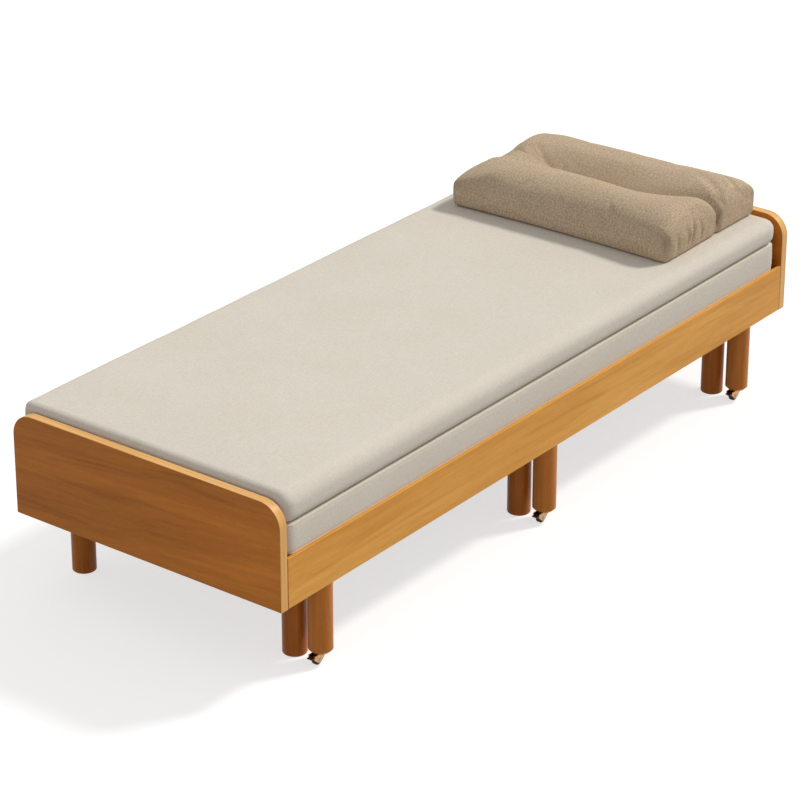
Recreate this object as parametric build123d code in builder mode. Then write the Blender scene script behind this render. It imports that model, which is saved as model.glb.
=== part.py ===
# Pull-out sofa bed, in millimetres.
# X runs along the bed, the front that pulls out faces -Y, and Z is up from the floor.
# A fixed frame of two end panels, a back rail, a beam, bearers and slats stands on six legs.
# A pull-out frame of a front rail, slats and a batten slides between them on three castered legs.
# Two mattresses and a back cushion with a sewn channel lie loose on the slats.

import math
import os

from build123d import *

os.makedirs("parts", exist_ok=True)

# Outer frame
bed_length = 2000
bed_depth = 760
leg_height = 200
panel_thickness = 24
panel_height = 250
panel_corner_radius = 55
panel_edge_round = 2
rail_thickness = 20
rail_height = 120
rail_edge_round = 1.5
rail_end_gap = 1.5

# Slats and the rebates that hold their outer ends
slat_width = 64
slat_thickness = 18
slat_gap = 14
slat_edge_round = 3
slat_side_gap = 8
rebate_width = 12
rebate_drop = 24
rebate_end_gap = 0.5

# Legs and what carries them
leg_diameter = 56
leg_edge_round = 3
caster_leg_chamfer = 7
leg_end_distance = 165
back_leg_distance = 41
bearer_width = 60
bearer_height = 50
block_gap = 2
beam_thickness = 22
batten_thickness = 22
batten_back_gap = 2
batten_end_gap = 3
stop_gap = 1

# Nylon glides
glide_thickness = 4
glide_gap = 0.4
glide_width = 40
beam_pad_thickness = 2.6
slat_relief = 1

# Casters, measured from the swivel axis and the floor
caster_height = 28
wheel_diameter = 24
wheel_width = 13
wheel_edge_round = 3
hub_diameter = 14
hub_recess = 1.5
caster_trail = 14
cheek_thickness = 2
cheek_side_gap = 0.8
cheek_end_radius = 5
cheek_corner_round = 4
cheek_front_reach = 9.6
crown_thickness = 2.4
crown_gap = 0.4
crown_radius = 12
stem_diameter = 8
stem_length = 32
socket_wall = 1.5
socket_floor = 2
axle_diameter = 5
axle_head_diameter = 8
axle_head_height = 1
running_clearance = 0.06
pedal_pin_diameter = 2.5
pedal_barrel_radius = 2.6
pedal_wheel_gap = 1
pedal_length = 11
pedal_thickness = 1.8
pedal_side_gap = 0.4
pedal_rise = 9
shoe_length = 5.5
caster_swing_gap = 4.4

# Fasteners
screw_diameter = 4
screw_head_diameter = 8
slat_screw_length = 32
bearer_screw_length = 60
beam_screw_length = 75
block_screw_length = 46
screw_clearance = 0.05
leg_bolt_diameter = 8
leg_bolt_length = 74
leg_bolt_clearance = 0.1
dowel_diameter = 8
dowel_length = 32
dowel_panel_depth = 13
dowel_clearance = 0.1
bracket_leg = 25
bracket_screw_out = 15
bracket_height = 36
bracket_thickness = 2
bracket_screw_diameter = 3.5
bracket_screw_head = 7
bracket_screw_head_height = 1.6
bracket_screw_length = 14
bracket_hole_spacing = 20

# Mattresses
mattress_gap = 0.3
mattress_left_gap = 6
mattress_right_gap = 14
mattress_rail_gap = 1
lower_thickness = 75.5
upper_thickness = 64
upper_crown = 6
mattress_corner_radius = 28
mattress_edge_radius = 11
mattress_side_bulge = 1.5
crown_run = 240
corner_shares = (0, 0.07, 0.22, 0.45, 1)
cover_thickness = 1.2
core_gap = 0.3

# Back cushion with two lobes and the channel sewn between them
cushion_width = 404
cushion_length = 650
cushion_height = 108
cushion_panel_gap = 36
cushion_front_shift = 4
cushion_seam_height = 42
cushion_end_run = 150
cushion_foot_inset = 22
channel_front_height = 44
channel_middle_height = 62
channel_back_height = 96

# How the cushion's sections fill out, from 0 at each end of it to 1 at the end of its end run
cushion_end_shares = (0, 0.03, 0.1, 0.22, 0.4, 0.65, 1)
cushion_end_fullness = (0.28, 0.46, 0.64, 0.78, 0.9, 0.97, 1)
cushion_end_width = 0.86
cushion_end_lift = 0.6
channel_end_height = 0.7
lower_bulge_in = 0.22
lower_bulge_up = 0.42
lobe_bulge = 0.74
channel_bulge = 0.42
channel_bulge_drop = 0.3

# Levels and faces that follow from the sizes above
half_length = bed_length / 2
half_depth = bed_depth / 2
inside_half = half_length - panel_thickness
rail_inner = half_depth - rail_thickness
rebate_face = rail_inner + rebate_width
rail_top = leg_height + rail_height
slat_bottom = rail_top - rebate_drop
slat_top = slat_bottom + slat_thickness
bearer_top = leg_height + bearer_height
block_thickness = leg_diameter - rail_thickness
beam_front = -rail_inner + block_thickness + block_gap
beam_back = beam_front + beam_thickness
batten_back = rail_inner - batten_back_gap
batten_front = batten_back - batten_thickness
batten_bottom = bearer_top + glide_gap + glide_thickness
pull_travel = batten_front - beam_back - stop_gap

# Slats: the fixed and the moving ones take turns, as many as fit with at least the gap between them
slat_span = inside_half - slat_side_gap - slat_width / 2
slat_pairs = math.floor(round(slat_span / (2 * (slat_width + slat_gap)), 3))
slat_pitch = slat_span / (2 * slat_pairs)
fixed_count = 2 * slat_pairs + 1
moving_count = 2 * slat_pairs
fixed_slat_x = [2 * slat_pitch * i for i in range(-slat_pairs, slat_pairs + 1)]
moving_slat_x = [slat_pitch * (2 * i + 1) for i in range(-slat_pairs, slat_pairs)]
relief_width = slat_width + slat_gap / 2

# Casters: the pedal pivots behind the wheel, and the fixed legs stand clear of its swing
wheel_radius = wheel_diameter / 2
pedal_pivot_x = -caster_trail - wheel_radius - pedal_barrel_radius - pedal_wheel_gap / 2
pedal_pivot_z = wheel_radius + pedal_rise
pedal_tip = -pedal_pivot_x + pedal_length
caster_leg_y = -half_depth + leg_diameter / 2
front_leg_y = caster_leg_y + pedal_tip + caster_swing_gap + leg_diameter / 2
back_leg_y = half_depth - back_leg_distance
leg_x = half_length - leg_end_distance
leg_places = {"left": -leg_x, "middle": 0, "right": leg_x}

# Screw places
rebate_screw_y = rail_inner + rebate_width / 2
beam_centre = (beam_front + beam_back) / 2
batten_centre = (batten_front + batten_back) / 2
bearer_centre_z = leg_height + bearer_height / 2
bearer_screw_x = bearer_width / 3
screw_radius = screw_diameter / 2
head_radius = screw_head_diameter / 2
pilot_radius = screw_radius + screw_clearance
sink_radius = head_radius + screw_clearance
fixed_screw_places = [(x, y) for x in fixed_slat_x for y in (beam_centre, rebate_screw_y)]
moving_screw_places = [(x, y) for x in moving_slat_x for y in (-rebate_screw_y, batten_centre)]
bearer_screw_xs = [x + s * bearer_screw_x for x in leg_places.values() for s in (-1, 1)]
bearer_screw_places = [(x, bearer_centre_z) for x in bearer_screw_xs]
beam_screw_places = [(x, beam_centre) for x in bearer_screw_xs]
block_screw_places = bearer_screw_places
slat_screw_solid = slat_screw_length - 2 * screw_clearance
bearer_screw_solid = bearer_screw_length - 2 * screw_clearance
beam_screw_solid = beam_screw_length - 2 * screw_clearance
block_screw_solid = block_screw_length - 2 * screw_clearance
bolt_bore_radius = leg_bolt_diameter / 2 + leg_bolt_clearance
bolt_bore_depth = leg_bolt_length / 2 + leg_bolt_clearance

# Brackets stand in the corners of both panels, and a dowel passes between the screws of each
beam_height = slat_bottom - bearer_top
beam_centre_z = bearer_top + beam_height / 2
rail_centre_y = half_depth - rail_thickness / 2
beam_dowels = [(beam_centre, beam_centre_z)]
rail_dowels = [(rail_centre_y, beam_centre_z), (rail_centre_y, bearer_centre_z)]
dowel_places = beam_dowels + rail_dowels
bracket_corners = [(beam_front, beam_centre_z), (rail_inner, bearer_centre_z)]
bracket_pilot_radius = bracket_screw_diameter / 2 + screw_clearance
bracket_pilot_depth = bracket_screw_length - bracket_thickness + screw_clearance


def upright(x, y, z, towards_z):
    # A plane at a point with its normal along +Z or -Z
    return Plane(origin=(x, y, z), x_dir=(1, 0, 0), z_dir=(0, 0, towards_z))


def facing(x, y, z, towards_y):
    # A plane at a point with its normal along +Y or -Y
    return Plane(origin=(x, y, z), x_dir=(1, 0, 0), z_dir=(0, towards_y, 0))


def screw_solid(plane, length):
    # A countersunk screw whose head is flush with the plane and whose shank points down from it
    with BuildPart(plane) as screw:
        with BuildSketch(plane):
            Circle(head_radius)
        with BuildSketch(plane.offset(screw_radius - head_radius)):
            Circle(screw_radius)
        loft()
        with BuildSketch(plane.offset(screw_radius - head_radius)):
            Circle(screw_radius)
        extrude(amount=head_radius - screw_radius - length)
    return screw.part


def end_facing(x, y, z, towards_x):
    # A plane at a point with its normal along +X or -X
    return Plane(origin=(x, y, z), x_dir=(0, 1, 0), z_dir=(towards_x, 0, 0))


def bracket_heights(z):
    # The levels of the two screws in each leg of a bracket
    return (z - bracket_hole_spacing / 2, z + bracket_hole_spacing / 2)


def panel_bracket_planes(side, outwards):
    # Planes of the bracket screws in one end panel, a distance before its inner face
    x = side * (inside_half - outwards)
    return [
        end_facing(x, face_y - bracket_screw_out, hole_z, -side)
        for face_y, z in bracket_corners
        for hole_z in bracket_heights(z)
    ]


def rail_bracket_planes(corner, outwards):
    # Planes of the bracket screws in the beam or the back rail, a distance before its face
    face_y, z = corner
    return [
        facing(side * (inside_half - bracket_screw_out), face_y - outwards, hole_z, -1)
        for side in (-1, 1)
        for hole_z in bracket_heights(z)
    ]


# End panels, with rounded top corners and dowel bores on their inner faces
for side, name in ((-1, "left_end_panel"), (1, "right_end_panel")):
    with BuildPart() as end_panel:
        with BuildSketch(Plane.YZ.offset(side * inside_half)) as panel_face:
            with Locations((0, leg_height + panel_height / 2)):
                Rectangle(bed_depth, panel_height)
            fillet(panel_face.vertices().group_by(Axis.Y)[-1], radius=panel_corner_radius)
        extrude(amount=side * panel_thickness)
        fillet(end_panel.faces().filter_by(Axis.X).edges(), radius=panel_edge_round)
        for y, z in dowel_places:
            with BuildSketch(end_facing(side * inside_half, y, z, side)):
                Circle(dowel_diameter / 2 + dowel_clearance)
            extrude(amount=dowel_panel_depth + dowel_clearance, mode=Mode.SUBTRACT)
        with Locations(*panel_bracket_planes(side, 0)):
            Hole(bracket_pilot_radius, depth=bracket_pilot_depth)
    end_panel.part.label = name
    export_step(end_panel.part, f"parts/{name}.step")

# Back rail, with a rebate for the fixed slats and screws through it into the bearers
with BuildPart() as back_rail:
    with BuildSketch(Plane.YZ.offset(-inside_half)):
        with BuildLine():
            Polyline(
                (rail_inner, leg_height),
                (half_depth, leg_height),
                (half_depth, rail_top),
                (rebate_face, rail_top),
                (rebate_face, slat_bottom),
                (rail_inner, slat_bottom),
                close=True,
            )
        make_face()
    extrude(amount=2 * inside_half)
    outer_face = back_rail.faces().sort_by(Axis.Y)[-1]
    fillet(outer_face.edges().filter_by(Axis.X), radius=rail_edge_round)
    with Locations(*[facing(x, half_depth, z, 1) for x, z in bearer_screw_places]):
        CounterSinkHole(pilot_radius, sink_radius, depth=rail_thickness, counter_sink_angle=90)
    with Locations(*[(x, rebate_screw_y, slat_bottom) for x in fixed_slat_x]):
        Hole(pilot_radius, depth=slat_screw_length - slat_thickness)
    with Locations(*rail_bracket_planes(bracket_corners[1], 0)):
        Hole(bracket_pilot_radius, depth=bracket_pilot_depth)
    for side in (-1, 1):
        for y, z in rail_dowels:
            with BuildSketch(end_facing(side * inside_half, y, z, side)):
                Circle(dowel_diameter / 2 + dowel_clearance)
            extrude(amount=dowel_panel_depth - dowel_clearance - dowel_length, mode=Mode.SUBTRACT)
back_rail.part.label = "back_rail"
export_step(back_rail.part, "parts/back_rail.step")

# Front beam of the fixed frame, with a relief and a nylon pad under each moving slat
with BuildPart() as front_beam:
    with BuildSketch(Plane.YZ.offset(-inside_half)):
        with Locations((beam_centre, beam_centre_z)):
            Rectangle(beam_thickness, beam_height)
    extrude(amount=2 * inside_half)
    with BuildSketch(Plane.XY.offset(slat_bottom)):
        with Locations(*[(x, beam_centre) for x in moving_slat_x]):
            Rectangle(relief_width, beam_thickness)
    extrude(amount=-beam_pad_thickness - glide_gap, mode=Mode.SUBTRACT)
    with Locations(*[(x, beam_centre, slat_bottom) for x in fixed_slat_x]):
        Hole(pilot_radius, depth=slat_screw_length - slat_thickness)
    with Locations(*[upright(x, y, bearer_top, -1) for x, y in beam_screw_places]):
        Hole(pilot_radius, depth=beam_screw_length - bearer_height)
    with Locations(*rail_bracket_planes(bracket_corners[0], 0)):
        Hole(bracket_pilot_radius, depth=bracket_pilot_depth)
    for side in (-1, 1):
        for y, z in beam_dowels:
            with BuildSketch(end_facing(side * inside_half, y, z, side)):
                Circle(dowel_diameter / 2 + dowel_clearance)
            extrude(amount=dowel_panel_depth - dowel_clearance - dowel_length, mode=Mode.SUBTRACT)
front_beam.part.label = "front_beam"
export_step(front_beam.part, "parts/front_beam.step")

# Nylon pads in the beam's reliefs, which the moving slats run on
with BuildPart() as beam_glides:
    with BuildSketch(Plane.XY.offset(slat_bottom - beam_pad_thickness - glide_gap)):
        with Locations(*[(x, beam_centre) for x in moving_slat_x]):
            Rectangle(slat_width, beam_thickness)
    extrude(amount=beam_pad_thickness)
beam_glides.part.label = "beam_glides"
export_step(beam_glides.part, "parts/beam_glides.step")

# Cross bearers, each carrying a front and a back leg
for name, x in leg_places.items():
    with BuildPart() as cross_bearer:
        with BuildSketch(Plane.XZ.offset(-rail_inner)):
            with Locations((x, bearer_centre_z)):
                Rectangle(bearer_width, bearer_height)
        extrude(amount=rail_inner - beam_front)
        with Locations((x, front_leg_y, leg_height), (x, back_leg_y, leg_height)):
            Cylinder(
                bolt_bore_radius,
                bolt_bore_depth,
                align=(Align.CENTER, Align.CENTER, Align.MIN),
                mode=Mode.SUBTRACT,
            )
        with Locations(*[upright(x + s * bearer_screw_x, beam_centre, leg_height, -1) for s in (-1, 1)]):
            CounterSinkHole(pilot_radius, sink_radius, depth=bearer_height, counter_sink_angle=90)
        with Locations(*[facing(x + s * bearer_screw_x, rail_inner, bearer_centre_z, 1) for s in (-1, 1)]):
            Hole(pilot_radius, depth=bearer_screw_length - rail_thickness)
    cross_bearer.part.label = f"cross_bearer_{name}"
    export_step(cross_bearer.part, f"parts/cross_bearer_{name}.step")

# Fixed slats, from the back rail's rebate to the front of the beam
with BuildPart() as fixed_slats:
    with BuildSketch(Plane.XZ.offset(rebate_end_gap - rebate_face)):
        with Locations((0, slat_bottom + slat_thickness / 2)):
            with GridLocations(2 * slat_pitch, 0, fixed_count, 1):
                RectangleRounded(slat_width, slat_thickness, slat_edge_round)
    extrude(amount=rebate_face - rebate_end_gap - beam_front)
    with Locations(*[(x, y, slat_top) for x, y in fixed_screw_places]):
        CounterSinkHole(pilot_radius, sink_radius, depth=slat_thickness, counter_sink_angle=90)
fixed_slats.part.label = "fixed_slats"
export_step(fixed_slats.part, "parts/fixed_slats.step")

with BuildPart() as fixed_slat_screws:
    for x, y in fixed_screw_places:
        add(screw_solid(upright(x, y, slat_top - screw_clearance, 1), slat_screw_solid))
fixed_slat_screws.part.label = "fixed_slat_screws"
export_step(fixed_slat_screws.part, "parts/fixed_slat_screws.step")

with BuildPart() as bearer_screws:
    for x, z in bearer_screw_places:
        add(screw_solid(facing(x, half_depth - screw_clearance, z, 1), bearer_screw_solid))
bearer_screws.part.label = "bearer_screws"
export_step(bearer_screws.part, "parts/bearer_screws.step")

with BuildPart() as beam_screws:
    for x, y in beam_screw_places:
        add(screw_solid(upright(x, y, leg_height + screw_clearance, -1), beam_screw_solid))
beam_screws.part.label = "beam_screws"
export_step(beam_screws.part, "parts/beam_screws.step")

# Dowels that locate the rail and the beam in the end panels
with BuildPart() as frame_dowels:
    for side in (-1, 1):
        for y, z in dowel_places:
            outer_end = side * (inside_half + dowel_panel_depth)
            with BuildSketch(end_facing(outer_end, y, z, -side)):
                Circle(dowel_diameter / 2)
            extrude(amount=dowel_length)
frame_dowels.part.label = "frame_dowels"
export_step(frame_dowels.part, "parts/frame_dowels.step")

# Steel corner brackets and their screws
with BuildPart() as corner_brackets:
    for side in (-1, 1):
        corner_x = side * inside_half
        for face_y, z in bracket_corners:
            with BuildSketch(Plane.XY.offset(z - bracket_height / 2)):
                with BuildLine():
                    Polyline(
                        (corner_x, face_y),
                        (corner_x - side * bracket_leg, face_y),
                        (corner_x - side * bracket_leg, face_y - bracket_thickness),
                        (corner_x - side * bracket_thickness, face_y - bracket_thickness),
                        (corner_x - side * bracket_thickness, face_y - bracket_leg),
                        (corner_x, face_y - bracket_leg),
                        close=True,
                    )
                make_face()
            extrude(amount=bracket_height)
        with Locations(*panel_bracket_planes(side, bracket_thickness)):
            Hole(bracket_pilot_radius, depth=bracket_thickness)
    for corner in bracket_corners:
        with Locations(*rail_bracket_planes(corner, bracket_thickness)):
            Hole(bracket_pilot_radius, depth=bracket_thickness)
corner_brackets.part.label = "corner_brackets"
export_step(corner_brackets.part, "parts/corner_brackets.step")

with BuildPart() as bracket_screws:
    screw_planes = []
    for side in (-1, 1):
        screw_planes += panel_bracket_planes(side, bracket_thickness)
    for corner in bracket_corners:
        screw_planes += rail_bracket_planes(corner, bracket_thickness)
    for plane in screw_planes:
        with BuildSketch(plane):
            Circle(bracket_screw_head / 2)
        extrude(amount=bracket_screw_head_height)
        with BuildSketch(plane):
            Circle(bracket_screw_diameter / 2)
        extrude(amount=-bracket_screw_length)
bracket_screws.part.label = "bracket_screws"
export_step(bracket_screws.part, "parts/bracket_screws.step")

# Turned legs of the fixed frame, bored for their hanger bolts
for row, leg_y in (("front", front_leg_y), ("back", back_leg_y)):
    for name, x in leg_places.items():
        with BuildPart() as fixed_leg:
            with BuildSketch(Plane.XY):
                with Locations((x, leg_y)):
                    Circle(leg_diameter / 2)
            extrude(amount=leg_height)
            fillet(fixed_leg.faces().sort_by(Axis.Z)[0].edges(), radius=leg_edge_round)
            with Locations((x, leg_y, leg_height)):
                Hole(bolt_bore_radius, depth=bolt_bore_depth)
        fixed_leg.part.label = f"{row}_leg_{name}"
        export_step(fixed_leg.part, f"parts/{row}_leg_{name}.step")

with BuildPart() as fixed_leg_bolts:
    with Locations(*[(x, y, leg_height) for x in leg_places.values() for y in (front_leg_y, back_leg_y)]):
        Cylinder(leg_bolt_diameter / 2, leg_bolt_length)
fixed_leg_bolts.part.label = "fixed_leg_bolts"
export_step(fixed_leg_bolts.part, "parts/fixed_leg_bolts.step")

# Front rail of the pull-out frame, the back rail's twin between the panels
with BuildPart() as front_rail:
    front_half = inside_half - rail_end_gap
    with BuildSketch(Plane.YZ.offset(-front_half)):
        with BuildLine():
            Polyline(
                (-rail_inner, leg_height),
                (-half_depth, leg_height),
                (-half_depth, rail_top),
                (-rebate_face, rail_top),
                (-rebate_face, slat_bottom),
                (-rail_inner, slat_bottom),
                close=True,
            )
        make_face()
    extrude(amount=2 * front_half)
    outer_face = front_rail.faces().sort_by(Axis.Y)[0]
    fillet(outer_face.edges().filter_by(Axis.X), radius=rail_edge_round)
    with Locations(*[(x, -rebate_screw_y, slat_bottom) for x in moving_slat_x]):
        Hole(pilot_radius, depth=slat_screw_length - slat_thickness)
    with Locations(*[facing(x, -rail_inner, z, 1) for x, z in block_screw_places]):
        Hole(pilot_radius, depth=block_screw_length - block_thickness)
front_rail.part.label = "front_rail"
export_step(front_rail.part, "parts/front_rail.step")

# Rear batten under the moving slats, relieved where it passes below the fixed ones
with BuildPart() as rear_batten:
    batten_half = inside_half - batten_end_gap
    with BuildSketch(Plane.XY.offset(batten_bottom)):
        with Locations((0, batten_centre)):
            Rectangle(2 * batten_half, batten_thickness)
    extrude(amount=slat_bottom - batten_bottom)
    with BuildSketch(Plane.XY.offset(slat_bottom)):
        with Locations(*[(x, batten_centre) for x in fixed_slat_x]):
            Rectangle(relief_width, batten_thickness)
    extrude(amount=-slat_relief, mode=Mode.SUBTRACT)
    with Locations(*[(x, batten_centre, slat_bottom) for x in moving_slat_x]):
        Hole(pilot_radius, depth=slat_screw_length - slat_thickness)
rear_batten.part.label = "rear_batten"
export_step(rear_batten.part, "parts/rear_batten.step")

# Nylon blocks under the batten, which run along the bearers
with BuildPart() as batten_glides:
    with BuildSketch(Plane.XY.offset(batten_bottom)):
        with Locations(*[(x, batten_centre) for x in leg_places.values()]):
            Rectangle(glide_width, batten_thickness)
    extrude(amount=-glide_thickness)
batten_glides.part.label = "batten_glides"
export_step(batten_glides.part, "parts/batten_glides.step")

# Moving slats, from the front rail's rebate to the back of the batten
with BuildPart() as moving_slats:
    with BuildSketch(Plane.XZ.offset(-batten_back)):
        with Locations((0, slat_bottom + slat_thickness / 2)):
            with GridLocations(2 * slat_pitch, 0, moving_count, 1):
                RectangleRounded(slat_width, slat_thickness, slat_edge_round)
    extrude(amount=batten_back + rebate_face - rebate_end_gap)
    with Locations(*[(x, y, slat_top) for x, y in moving_screw_places]):
        CounterSinkHole(pilot_radius, sink_radius, depth=slat_thickness, counter_sink_angle=90)
moving_slats.part.label = "moving_slats"
export_step(moving_slats.part, "parts/moving_slats.step")

with BuildPart() as moving_slat_screws:
    for x, y in moving_screw_places:
        add(screw_solid(upright(x, y, slat_top - screw_clearance, 1), slat_screw_solid))
moving_slat_screws.part.label = "moving_slat_screws"
export_step(moving_slat_screws.part, "parts/moving_slat_screws.step")

# Blocks behind the front rail that the castered legs are bolted to
for name, x in leg_places.items():
    with BuildPart() as leg_block:
        with BuildSketch(Plane.XZ.offset(rail_inner - block_thickness)):
            with Locations((x, bearer_centre_z)):
                Rectangle(bearer_width, bearer_height)
        extrude(amount=block_thickness)
        with Locations(upright(x, caster_leg_y, leg_height, -1)):
            Hole(bolt_bore_radius, depth=bolt_bore_depth)
        block_back = block_thickness - rail_inner
        with Locations(*[facing(x + s * bearer_screw_x, block_back, bearer_centre_z, 1) for s in (-1, 1)]):
            CounterSinkHole(pilot_radius, sink_radius, depth=block_thickness, counter_sink_angle=90)
    leg_block.part.label = f"leg_block_{name}"
    export_step(leg_block.part, f"parts/leg_block_{name}.step")

with BuildPart() as block_screws:
    for x, z in block_screw_places:
        head_y = block_thickness - rail_inner - screw_clearance
        add(screw_solid(facing(x, head_y, z, 1), block_screw_solid))
block_screws.part.label = "block_screws"
export_step(block_screws.part, "parts/block_screws.step")

# Castered legs, chamfered at the bottom and bored for the bolt above and the socket below
socket_outer = stem_diameter / 2 + running_clearance + socket_wall
socket_depth = stem_length + socket_floor
for name, x in leg_places.items():
    with BuildPart() as caster_leg:
        with BuildSketch(Plane.XY.offset(caster_height)):
            with Locations((x, caster_leg_y)):
                Circle(leg_diameter / 2)
        extrude(amount=leg_height - caster_height)
        chamfer(caster_leg.faces().sort_by(Axis.Z)[0].edges(), length=caster_leg_chamfer)
        with Locations((x, caster_leg_y, leg_height)):
            Hole(bolt_bore_radius, depth=bolt_bore_depth)
        with Locations(upright(x, caster_leg_y, caster_height, -1)):
            Hole(socket_outer + screw_clearance, depth=socket_depth + screw_clearance)
    caster_leg.part.label = f"caster_leg_{name}"
    export_step(caster_leg.part, f"parts/caster_leg_{name}.step")

with BuildPart() as caster_leg_bolts:
    with Locations(*[(x, caster_leg_y, leg_height) for x in leg_places.values()]):
        Cylinder(leg_bolt_diameter / 2, leg_bolt_length)
caster_leg_bolts.part.label = "caster_leg_bolts"
export_step(caster_leg_bolts.part, "parts/caster_leg_bolts.step")

with BuildPart() as caster_sockets:
    with BuildSketch(Plane.XY.offset(caster_height)):
        with Locations(*[(x, caster_leg_y) for x in leg_places.values()]):
            Circle(socket_outer)
    extrude(amount=socket_depth)
    with Locations(*[upright(x, caster_leg_y, caster_height, -1) for x in leg_places.values()]):
        Hole(stem_diameter / 2 + running_clearance, depth=stem_length + socket_floor / 2)
caster_sockets.part.label = "caster_sockets"
export_step(caster_sockets.part, "parts/caster_sockets.step")

# Casters: each fork turns in its socket, and its wheel and brake pedal turn on pins across it
fork_inside = wheel_width / 2 + cheek_side_gap
fork_outside = fork_inside + cheek_thickness
crown_top = caster_height - crown_gap
crown_bottom = crown_top - crown_thickness
pin_half = fork_outside + running_clearance
for name, x in leg_places.items():
    axle_x = x - caster_trail
    pivot_x = x + pedal_pivot_x
    with BuildPart() as caster_fork:
        for side in (-1, 1):
            cheek_face = caster_leg_y + side * fork_outside
            with BuildSketch(Plane.XZ.offset(-cheek_face)) as cheek:
                with BuildLine():
                    Polyline(
                        (pivot_x - pedal_barrel_radius, crown_top),
                        (pivot_x - pedal_barrel_radius, pedal_pivot_z - pedal_barrel_radius),
                        (axle_x - cheek_end_radius, wheel_radius - cheek_end_radius),
                        (axle_x + cheek_end_radius, wheel_radius - cheek_end_radius),
                        (x + cheek_front_reach, crown_bottom),
                        (x + cheek_front_reach, crown_top),
                        close=True,
                    )
                make_face()
                fillet(cheek.vertices().group_by(Axis.Y)[0], radius=cheek_corner_round)
            extrude(amount=side * cheek_thickness)
        with BuildSketch(Plane.XY.offset(crown_bottom)):
            with Locations((x, caster_leg_y)):
                Circle(crown_radius)
            with Locations(((axle_x + x) / 2, caster_leg_y)):
                Rectangle(caster_trail, 2 * fork_outside)
        extrude(amount=crown_thickness)
        with BuildSketch(Plane.XY.offset(crown_top)):
            with Locations((x, caster_leg_y)):
                Circle(stem_diameter / 2)
        extrude(amount=crown_gap + stem_length)
        with Locations(facing(axle_x, caster_leg_y + fork_outside, wheel_radius, 1)):
            Hole(axle_diameter / 2 + screw_clearance, depth=2 * fork_outside)
        with Locations(facing(pivot_x, caster_leg_y + fork_outside, pedal_pivot_z, 1)):
            Hole(pedal_pin_diameter / 2 + screw_clearance, depth=2 * fork_outside)
    caster_fork.part.label = f"caster_fork_{name}"
    export_step(caster_fork.part, f"parts/caster_fork_{name}.step")

    with BuildPart() as caster_wheel:
        with BuildSketch(Plane.XZ.offset(-caster_leg_y - wheel_width / 2)):
            with Locations((axle_x, wheel_radius)):
                Circle(wheel_radius)
        extrude(amount=wheel_width)
        fillet(caster_wheel.edges().filter_by(GeomType.CIRCLE), radius=wheel_edge_round)
        for side in (-1, 1):
            with BuildSketch(Plane.XZ.offset(-caster_leg_y - side * wheel_width / 2)):
                with Locations((axle_x, wheel_radius)):
                    Circle(hub_diameter / 2)
                    Circle(axle_diameter, mode=Mode.SUBTRACT)
            extrude(amount=side * hub_recess, mode=Mode.SUBTRACT)
        with Locations(facing(axle_x, caster_leg_y + wheel_width / 2, wheel_radius, 1)):
            Hole(axle_diameter / 2 + running_clearance, depth=wheel_width)
    caster_wheel.part.label = f"caster_wheel_{name}"
    export_step(caster_wheel.part, f"parts/caster_wheel_{name}.step")

    with BuildPart() as caster_axle:
        with BuildSketch(Plane.XZ.offset(-caster_leg_y - pin_half)):
            with Locations((axle_x, wheel_radius)):
                Circle(axle_diameter / 2)
        extrude(amount=2 * pin_half)
        for side in (-1, 1):
            with BuildSketch(Plane.XZ.offset(-caster_leg_y - side * pin_half)):
                with Locations((axle_x, wheel_radius)):
                    Circle(axle_head_diameter / 2)
            extrude(amount=-side * axle_head_height)
    caster_axle.part.label = f"caster_axle_{name}"
    export_step(caster_axle.part, f"parts/caster_axle_{name}.step")

    with BuildPart() as brake_pin:
        with BuildSketch(Plane.XZ.offset(-caster_leg_y - pin_half)):
            with Locations((pivot_x, pedal_pivot_z)):
                Circle(pedal_pin_diameter / 2)
        extrude(amount=2 * pin_half)
    brake_pin.part.label = f"brake_pin_{name}"
    export_step(brake_pin.part, f"parts/brake_pin_{name}.step")

    pedal_half = fork_inside - pedal_side_gap
    with BuildPart() as brake_pedal:
        with BuildSketch(Plane.XZ.offset(-caster_leg_y - pedal_half)):
            with Locations((pivot_x, pedal_pivot_z)):
                Circle(pedal_barrel_radius)
            pad_z = pedal_pivot_z + pedal_barrel_radius - pedal_thickness / 2
            with Locations((pivot_x - pedal_length / 2, pad_z)):
                Rectangle(pedal_length, pedal_thickness)
            with Locations((pivot_x + pedal_barrel_radius / 2, pedal_pivot_z - shoe_length / 2)):
                Rectangle(pedal_barrel_radius, shoe_length)
        extrude(amount=2 * pedal_half)
        with Locations(facing(pivot_x, caster_leg_y + pedal_half, pedal_pivot_z, 1)):
            Hole(pedal_pin_diameter / 2 + running_clearance, depth=2 * pedal_half)
    brake_pedal.part.label = f"brake_pedal_{name}"
    export_step(brake_pedal.part, f"parts/brake_pedal_{name}.step")

# Mattresses: each is a foam core in a fabric cover, both lofted along X through rounded sections
lower_bottom = slat_top + mattress_gap
lower_top = lower_bottom + lower_thickness
upper_bottom = lower_top + mattress_gap
upper_top = upper_bottom + upper_thickness
mattress_left = -inside_half + mattress_left_gap
mattress_right = inside_half - mattress_right_gap
mattress_half_depth = rebate_face - mattress_rail_gap
core_inset = cover_thickness + core_gap


def corner_inset(distance, radius):
    # How far a quarter round of this radius has drawn in at a distance from the end
    reach = max(radius - distance, 0)
    return radius - math.sqrt(radius**2 - reach**2)


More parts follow.
